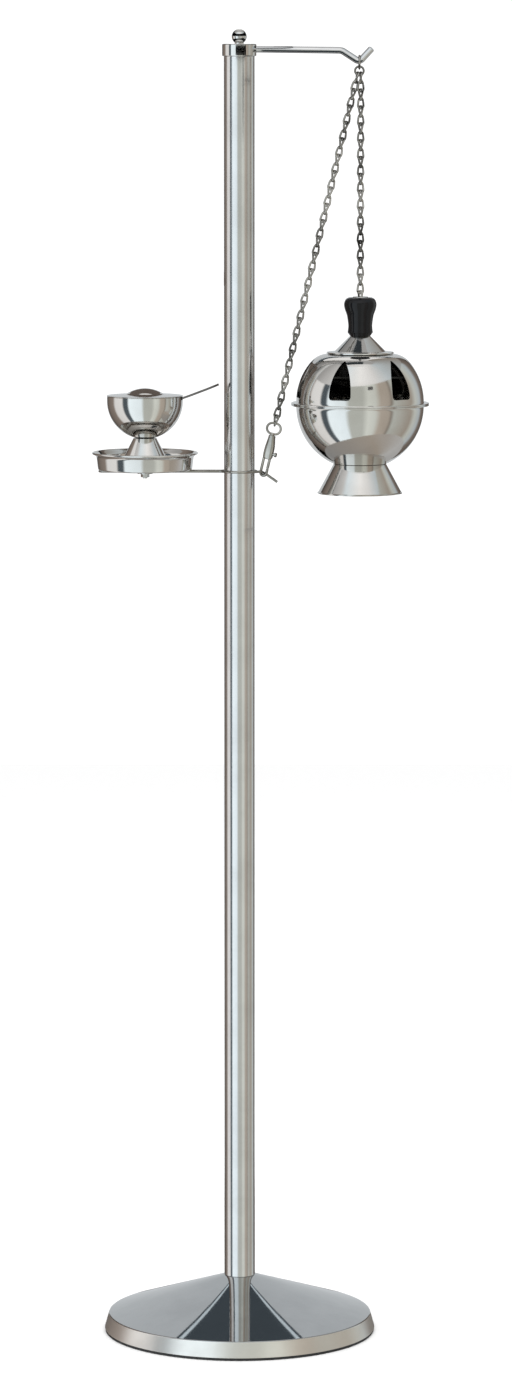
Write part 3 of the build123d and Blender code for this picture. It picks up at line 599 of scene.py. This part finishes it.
TRAY_Z = node_box("tray")[0].z
tray_outline = [
    (2.1, TRAY_Z),
    *arc((42.0, TRAY_Z + 1.7), 1.7, -90, -10, 5),
    (44.9, 823.0),
    (45.6, 824.4),
    (46.9, 825.6),
    *arc((47.9, 827.0), 1.1, -125, 150, 14),
    (46.0, 825.9),
    (44.4, 824.2),
    (43.9, 822.8),
    *arc((42.0, TRAY_Z + 2.0), 1.2, -5, -90, 5),
    (2.1, TRAY_Z + 0.8),
]
show(turned("boat_tray", tray_outline, TX), "tray", spun_steel)

BOAT_R, BOAT_IN, BOAT_Z, BOAT_RIM, BOAT_NECK = 35.1, 34.1, 875.2, 879.6, 8.0
boat_low = BOAT_Z - neck_drop(BOAT_R, BOAT_NECK)
boat_outline = [
    (1.6, boat_low),
    *arc((0, BOAT_Z), BOAT_R, neck_angle(BOAT_R, BOAT_NECK), 0, 30),
    (BOAT_R, BOAT_RIM - 0.3),
    (BOAT_R - 0.3, BOAT_RIM),
    (BOAT_IN + 0.3, BOAT_RIM),
    (BOAT_IN, BOAT_RIM - 0.3),
    *arc((0, BOAT_Z), BOAT_IN, 0, neck_angle(BOAT_IN, BOAT_NECK), 30),
    (1.6, BOAT_Z - neck_drop(BOAT_IN, BOAT_NECK)),
]
boat = turned("boat_cup", boat_outline, TX, 192)

SPOON_TURN, SPOON_SLOPE = radians(-12.0), radians(19.2)
notch_place = Matrix.Translation((TX, 0, BOAT_RIM)) @ Matrix.Rotation(SPOON_TURN, 4, "Z")
notch = prism("notch", notch_place, [(31, -3.2), (39, -3.2), (39, 3.2), (31, 3.2)], -3.0, 3.0)
cut(boat, notch)
show(boat, "boat_bowl", spun_steel)

foot_low = TRAY_Z + 0.9
boat_foot_outline = soft(
    [
        (1.6, boat_low),
        (10.7, boat_low),
        (24.7, 813.7),
        (26.2, 812.9),
        (26.2, foot_low),
        (25.2, foot_low),
        (24.0, 813.0),
        (9.9, boat_low - 1.2),
        (1.6, boat_low - 1.2),
    ],
    [0, 0.5, 1.5, 0.3, 0.15, 0.2, 0.8, 0.4, 0],
)
show(turned("boat_pedestal", boat_foot_outline, TX), "boat_foot", spun_steel)

seat = BOAT_RIM + 0.1
boat_lid_outline = [
    *reversed(list(dome((17.2, seat + 0.9), seat + 6.4))),
    (32.7, seat),
    (32.7, seat - 0.8),
    (33.6, seat - 0.8),
    (33.6, seat),
    (35.1, seat),
    (35.3, seat + 0.25),
    (35.3, seat + 0.6),
    (35.0, seat + 0.8),
    *dome((17.9, seat + 1.8), seat + 7.3),
]
show(turned("boat_cover_plate", boat_lid_outline, TX), "boat_lid", spun_steel)


def spoon_mesh():
    """A small spoon: a round dished bowl, and a flat handle that ends in a leaf."""
    place = (
        Matrix.Translation((TX, 0, 0))
        @ Matrix.Rotation(SPOON_TURN, 4, "Z")
        @ Matrix.Translation((35.1, 0, 878.1))
        @ Matrix.Rotation(-SPOON_SLOPE, 4, "Y")
    )
    bowl_x, bowl_r, depth = -55.4, 8.0, 3.0
    widths = [(-48.6, 2.1), (-44.0, 1.75), (-10.0, 1.5), (8.0, 1.6)]  # (place, half width)
    widths += [(26.0, 2.3), (33.0, 2.8), (36.0, 2.1), (37.0, 1.1)]
    neck = widths[0][0]
    stations = [bowl_x - bowl_r * cos(radians(a)) for a in range(8, 172, 8)]
    stations = [s for s in stations if s < neck] + [s for s, _ in widths]
    stations[-6:-6] = [-36.0, -24.0]
    across_steps = 12
    vertices, rings = [], []
    for s in stations:
        if s < neck:
            half = sqrt(max(bowl_r**2 - (s - bowl_x) ** 2, 0.04))
        else:
            before = max(w for w in widths if w[0] <= s)
            after = min(w for w in widths if w[0] >= s)
            share = (s - before[0]) / max(after[0] - before[0], 1e-6)
            half = before[1] + (after[1] - before[1]) * share
        lift = 0.0009 * max(s, 0) ** 2
        top, low = [], []
        for n in range(across_steps + 1):
            y = half * -cos(pi * n / across_steps)
            reach = ((s - bowl_x) ** 2 + y**2) / bowl_r**2
            dish = depth * max(1 - reach, 0) if s < -46 else 0
            edge = 1 - abs(y / half) ** 6 * 0.6
            top.append(place @ Vector((s, y, edge - dish + lift)))
            low.append(place @ Vector((s, y, -edge - dish + lift)))
        ring = top + low[::-1]
        rings.append((list(range(len(vertices), len(vertices) + len(ring))), MM * s))
        vertices += ring
    faces, uvs = skin(rings)
    for ring, along in (rings[0], rings[-1]):
        faces.append(ring)
        uvs += [(n / len(ring), along) for n in range(len(ring))]
    return build("incense_spoon", vertices, faces, uvs)


show(spoon_mesh(), "spoon", spoon_steel)

# ---- censer -------------------------------------------------------------------------------------

BALL_R, BALL_IN, BOWL_NECK, FLANGE_R = 59.0, 58.0, 24, 63.7
BOWL_Z, LID_Z, SEAM_Z = 871.0, 874.0, 872.45
bowl_rim, lid_rim = SEAM_Z - 0.05, SEAM_Z + 0.05
bowl_low = BOWL_Z - neck_drop(BALL_R, BOWL_NECK)
bowl_outline = [
    (2.6, bowl_low),
    *arc((0, BOWL_Z), BALL_R, neck_angle(BALL_R, BOWL_NECK), -1.2, 44),
    (59.5, BOWL_Z - 0.3),
    *arc((FLANGE_R - 0.55, bowl_rim - 0.85), 0.55, -90, 0, 4),
    *arc((FLANGE_R - 0.25, bowl_rim - 0.25), 0.25, 0, 90, 3),
    (BALL_IN, bowl_rim),
    *arc((0, BOWL_Z), BALL_IN, 0, neck_angle(BALL_IN, BOWL_NECK), 40),
    (2.6, BOWL_Z - neck_drop(BALL_IN, BOWL_NECK)),
]
show(turned("bowl_shell", bowl_outline, CX, 224), "censer_bowl", spun_steel)

FOOT_Z = node_box("censer_foot")[0].z
censer_foot_outline = soft(
    [
        (2.6, bowl_low),
        (24.4, bowl_low),
        (38.4, FOOT_Z + 1.4),
        (39.3, FOOT_Z + 0.8),
        (39.3, FOOT_Z),
        (38.2, FOOT_Z),
        (37.2, FOOT_Z + 1.0),
        (23.5, bowl_low - 1.2),
        (2.6, bowl_low - 1.2),
    ],
    [0, 0.6, 0.5, 0.25, 0.3, 0.2, 0.5, 0.4, 0],
)
show(turned("foot_cone", censer_foot_outline, CX, 192), "censer_foot", spun_steel)

SHOULDER = 38.0  # degrees above level, where the lid stops following the ball
CROWN = (30.0, 918.8)


def shoulder_arc(radius, crown):
    """From the ball's shoulder to the crown, on an arc that leaves the ball smoothly."""
    start = Vector((radius * cos(radians(SHOULDER)), LID_Z + radius * sin(radians(SHOULDER))))
    outward = Vector((cos(radians(SHOULDER)), sin(radians(SHOULDER))))
    gap = Vector(crown) - start
    reach = gap.length_squared / (-2 * gap.dot(outward))
    centre = start - outward * reach
    end_angle = degrees(atan2(crown[1] - centre.y, crown[0] - centre.x))
    return list(arc(tuple(centre), reach, SHOULDER, end_angle, 16))[1:]


lid_outline = [
    (BALL_IN, lid_rim),
    *arc((FLANGE_R - 0.25, lid_rim + 0.25), 0.25, -90, 0, 3),
    *arc((FLANGE_R - 0.55, lid_rim + 0.8), 0.55, 0, 90, 4),
    (59.4, lid_rim + 1.4),
    *arc((0, LID_Z), BALL_R, 1.0, SHOULDER, 30),
    *shoulder_arc(BALL_R, CROWN),
    (22.0, CROWN[1] + 0.5),
    (22.0, CROWN[1] - 0.5),
    *reversed(shoulder_arc(BALL_IN, (CROWN[0], CROWN[1] - 1.0))),
    *arc((0, LID_Z), BALL_IN, SHOULDER, 0, 30),
]
lid = turned("lid_shell", lid_outline, CX, 288)

PETALS, PETAL_LIFT, PETAL_FIRST = 6, radians(25.0), -20.0
petal_side = []
for n in range(1, 12):
    share = n / 12
    height = -18.8 + 38.8 * share
    petal_side.append((10.5 * (1 - share**2.15) ** 0.9 + 0.9 * share * (1 - share), height))
petal_outline = [(-6.8, -18.8), (6.8, -18.8), (9.2, -18.2), (10.3, -16.4), *petal_side]
petal_outline += [(0.9, 19.4), (0.0, 19.8), (-0.9, 19.4)]
petal_outline += [(-x, y) for x, y in reversed(petal_side)] + [(-10.3, -16.4), (-9.2, -18.2)]
petals = []
for hole in range(PETALS):
    turn = radians(PETAL_FIRST + 360 * hole / PETALS)
    facing = Vector((sin(turn) * cos(PETAL_LIFT), -cos(turn) * cos(PETAL_LIFT), sin(PETAL_LIFT)))
    across = Vector((cos(turn), sin(turn), 0))
    upward = facing.cross(across)
    facing_out = Matrix((across, upward, facing)).transposed().to_4x4()
    place = Matrix.Translation((CX, 0, SEAM_Z)) @ facing_out
    petals.append(prism(f"petal_{hole}", place, petal_outline, 36, 66))
cut(lid, *petals)
show(lid, "censer_lid", spun_steel)

CAP_LOW, KNOB_Z, KNOB_TOP = CROWN[1] + 0.5, 935.2, 970.8
lid_cap_outline = soft(
    [
        (6.0, KNOB_Z),
        (9.6, KNOB_Z),
        (24.2, CAP_LOW + 1.4),
        (31.0, CAP_LOW + 1.4),
        (31.0, CAP_LOW),
        (23.6, CAP_LOW),
        (9.1, KNOB_Z - 1.2),
        (6.0, KNOB_Z - 1.2),
    ],
    [0, 0.4, 2.5, 0.5, 0.3, 1.5, 0.4, 0],
    4,
)
show(turned("cap_cone", lid_cap_outline, CX, 160), "lid_cap", spun_steel)


def smooth_through(points, steps=8):
    """A smooth line through points."""
    line = []
    for n in range(len(points) - 1):
        a, b = Vector(points[max(n - 1, 0)]), Vector(points[n])
        c, d = Vector(points[n + 1]), Vector(points[min(n + 2, len(points) - 1)])
        for step in range(steps):
            t = step / steps
            bend, twist = 2 * a - 5 * b + 4 * c - d, 3 * b - a - 3 * c + d
            line.append(0.5 * (2 * b + (c - a) * t + bend * t**2 + twist * t**3))
    return [tuple(p) for p in line] + [points[-1]]


knob_side = smooth_through(
    [
        (11.7, 938.6),
        (11.2, 942.5),
        (11.15, 946.0),
        (12.3, 954.0),
        (14.2, 959.5),
        (15.05, 964.0),
        (14.4, 967.4),
        (12.9, 969.6),
        (10.6, KNOB_TOP),
    ]
)
knob_outline = [(6.0, KNOB_Z), (9.0, KNOB_Z), (9.5, KNOB_Z + 0.3), *knob_side, (6.0, KNOB_TOP)]
show(turned("handle_knob", knob_outline, CX, 128), "knob", knob_black)

bush_outline = soft(
    [
        (4.8, 929.0),
        (6.0, 929.0),
        (6.0, KNOB_TOP),
        (7.4, KNOB_TOP),
        (6.8, KNOB_TOP + 0.8),
        (4.8, KNOB_TOP + 0.8),
    ],
    [0.2, 0.2, 0, 0.1, 0.3, 0.3],
)
show(turned("bush_tube", bush_outline, CX, 96), "lid_bush", spun_steel)

# ---- studio -------------------------------------------------------------------------------------


def pale_floor():
    """A wide pale floor that fades into the white of the room and isn't mirrored in the metal."""
    mesh = bpy.data.meshes.new("floor")
    mesh.from_pydata([(-4, -4, 0), (4, -4, 0), (4, 4, 0), (-4, 4, 0)], [], [(0, 1, 2, 3)])
    floor = bpy.data.objects.new("floor", mesh)
    bpy.context.collection.objects.link(floor)
    paper = matt("paper", (0.88, 0.88, 0.88), (0.90, 0.90, 0.90), (0.85, 0.95), 60.0, 0.0)
    mesh.materials.append(paper)
    floor.visible_glossy = False


def glow(edges, stops, strength=1.5):
    """A glowing sheet between pairs of points, seen only in the metal; its colours run along it.

    stops: (share of the way along, colour, brightness), each blended into the next.
    """
    count = len(edges) - 1
    faces = [(2 * n, 2 * n + 2, 2 * n + 3, 2 * n + 1) for n in range(count)]
    mesh = bpy.data.meshes.new("glow")
    mesh.from_pydata([point for pair in edges for point in pair], [], faces)
    along = mesh.uv_layers.new(name="along")
    for n in range(count):
        for corner, share in zip(range(4 * n, 4 * n + 4), (n, n + 1, n + 1, n)):
            along.data[corner].uv = (share / count, 0.5)
    material = bpy.data.materials.new("glow")
    material.use_nodes = True
    tree = material.node_tree
    tree.nodes.remove(tree.nodes["Principled BSDF"])
    place, split = tree.nodes.new("ShaderNodeTexCoord"), tree.nodes.new("ShaderNodeSeparateXYZ")
    ramp, light = tree.nodes.new("ShaderNodeValToRGB"), tree.nodes.new("ShaderNodeEmission")
    marks = ramp.color_ramp.elements
    marks.remove(marks[1])
    for n, (share, colour, brightness) in enumerate(stops):
        mark = marks.new(share) if n else marks[0]
        mark.position = share
        mark.color = (*[c * brightness / strength for c in colour], 1)
    light.inputs["Strength"].default_value = strength
    tree.links.new(place.outputs["UV"], split.inputs["Vector"])
    tree.links.new(split.outputs["X"], ramp.inputs["Fac"])
    tree.links.new(ramp.outputs["Color"], light.inputs["Color"])
    tree.links.new(light.outputs["Emission"], tree.nodes["Material Output"].inputs["Surface"])
    mesh.materials.append(material)
    sheet = bpy.data.objects.new("glow", mesh)
    bpy.context.collection.objects.link(sheet)
    sheet.visible_camera = sheet.visible_shadow = sheet.visible_diffuse = False


TENT_R, WALL_Y, UNDER_Z, OVER_Z = 0.6, 1.95, -0.3, 2.5


def ring(low, high, stops, radius=TENT_R):
    """A glowing band round the object; stops go by azimuth, which is 0 at the camera's side."""
    first, last = stops[0][0], stops[-1][0]
    edges = []
    for n in range(49):
        turn = radians(first + (last - first) * n / 48)
        edges.append([(radius * sin(turn), -radius * cos(turn), z) for z in (low, high)])
    glow(edges, [((azimuth - first) / (last - first), *rest) for azimuth, *rest in stops])


def card(x, y, z, stops):
    """A flat glowing sheet as wide as x; its colours run from its near or low edge to the other."""
    glow([[(side, depth, height) for side in x] for depth, height in zip(y, z)], stops)


def flag(low, high, start, end, radius):
    """A black curved sheet, mirrored as a dark patch."""
    ring(low, high, [(start, WHITE, 0.0), (end, WHITE, 0.0)], radius)


def softbox(name, location, aim, size, radiance):
    """An area light of this radiance, facing a point; it lights the floor and is not mirrored."""
    light = bpy.data.lights.new(name, "AREA")
    light.shape = "RECTANGLE"
    light.size, light.size_y = size
    light.energy = radiance * pi * size[0] * size[1]
    lamp = bpy.data.objects.new(name, light)
    lamp.location = location
    lamp.rotation_euler = (Vector(aim) - lamp.location).to_track_quat("-Z", "Y").to_euler()
    lamp.visible_camera = lamp.visible_glossy = False
    bpy.context.collection.objects.link(lamp)


pale_floor()
BROWN, WHITE, SLATE = (1.0, 0.84, 0.74), (1.0, 1.0, 1.0), (0.70, 0.86, 1.0)
SKY, GREEN, BEIGE = (0.84, 0.94, 1.0), (0.96, 1.0, 0.94), (1.0, 0.89, 0.77)
PEARL = (0.93, 0.97, 1.0)
ring(
    UNDER_Z,
    1.24,
    [
        (-150, BROWN, 0.08),
        (-128, BROWN, 0.22),
        (-106, BROWN, 0.30),
        (-98, WHITE, 0.90),
        (-74, WHITE, 0.95),
        (-69, SLATE, 0.14),
        (-58, SLATE, 0.14),
        (-53, SKY, 1.35),
        (-18, SKY, 1.2),
        (-10, GREEN, 0.60),
        (14, GREEN, 0.60),
        (24, GREEN, 0.84),
        (35, GREEN, 0.76),
        (44, BEIGE, 0.52),
        (57, BEIGE, 0.48),
        (61, BEIGE, 0.30),
        (66, GREEN, 0.58),
        (98, BEIGE, 0.42),
        (108, GREEN, 0.66),
        (122, SKY, 0.62),
        (130, BROWN, 0.22),
        (150, BROWN, 0.10),
    ],
)
ring(
    1.24,
    OVER_Z,
    [
        (-150, WHITE, 0.25),
        (-100, WHITE, 0.45),
        (-62, WHITE, 0.70),
        (-45, SKY, 1.05),
        (10, WHITE, 1.1),
        (40, WHITE, 0.9),
        (70, SKY, 0.75),
        (150, BEIGE, 0.30),
    ],
)
flag(1.1905, 1.2035, -22, 44, 0.12)  # in the cap
flag(1.214, 1.25, -140, 140, 0.05)  # in the finial
ring(1.12, 1.19, [(24, WHITE, 0.12), (33, WHITE, 0.12)], 0.59)

# A disc under the censer, sloped so that the pole sees it edge on.
below = []
for n in range(49):
    turn = radians(7.5 * n)
    edge = [(CX * MM + 0.045 + r * sin(turn), -r * cos(turn)) for r in (0.01, 0.136)]
    below.append([(x, y, 0.76 - 0.1 * hypot(x, y)) for x, y in edge])
glow(below, [(0.0, BEIGE, 0.42), (0.3, WHITE, 0.56), (0.7, WHITE, 0.30), (1.0, BEIGE, 0.42)])

# Dark cards under the arm and behind the boat.
card((0.02, 0.13), (-0.08, -0.008), (1.168, 1.168), [(0.0, SLATE, 0.05), (1.0, SLATE, 0.05)])
card((-0.16, -0.02), (0.04, 0.35), (0.98, 0.98), [(0.0, BROWN, 0.14), (1.0, BROWN, 0.14)])

# The room's floor and ceiling.
card(
    (-0.8, 0.8),
    (-0.8, 0.8),
    (UNDER_Z, UNDER_Z),
    [(0.0, BEIGE, 0.34), (0.5, WHITE, 0.40), (1.0, WHITE, 0.30)],
)
card(
    (-1.0, 1.0),
    (-1.1, 1.9),
    (OVER_Z, OVER_Z),
    [
        (0.0, WHITE, 0.9),
        (0.26, WHITE, 0.9),
        (0.32, WHITE, 0.45),
        (0.48, WHITE, 0.45),
        (0.62, WHITE, 1.0),
        (1.0, WHITE, 1.0),
    ],
)

# The wall behind, pale up to a dark line, a light line and a dark top: the wedge in the base.
for low, high, colour, brightness in (
    (UNDER_Z, 2.05, PEARL, 0.66),
    (2.05, 2.09, SLATE, 0.10),
    (2.09, 2.14, SKY, 0.9),
    (2.14, 2.54, SLATE, 0.10),
):
    stops = [(0.0, colour, brightness), (1.0, colour, brightness)]
    card((-1.2, 1.2), (WALL_Y, WALL_Y), (low, high), stops)
softbox("top", (0, 0.0, 2.9), (0, 0.2, 0), (2.0, 1.6), 2.2)

world = bpy.data.worlds.new("studio")
world.use_nodes = True
world.node_tree.nodes["Background"].inputs["Color"].default_value = (1, 1, 1, 1)
world.node_tree.nodes["Background"].inputs["Strength"].default_value = 1.15
bpy.context.scene.world = world
world.cycles_visibility.glossy = False

lens = bpy.data.cameras.new("camera")
lens.lens, lens.sensor_width, lens.sensor_fit = 140.2, 36.0, "AUTO"
camera = bpy.data.objects.new("camera", lens)
camera.location = (0.0154, -4.935, 1.199)
camera.rotation_euler = (radians(90 - 6.81), 0, 0)
bpy.context.collection.objects.link(camera)
bpy.context.scene.camera = camera
bpy.context.scene.view_settings.view_transform = "Standard"
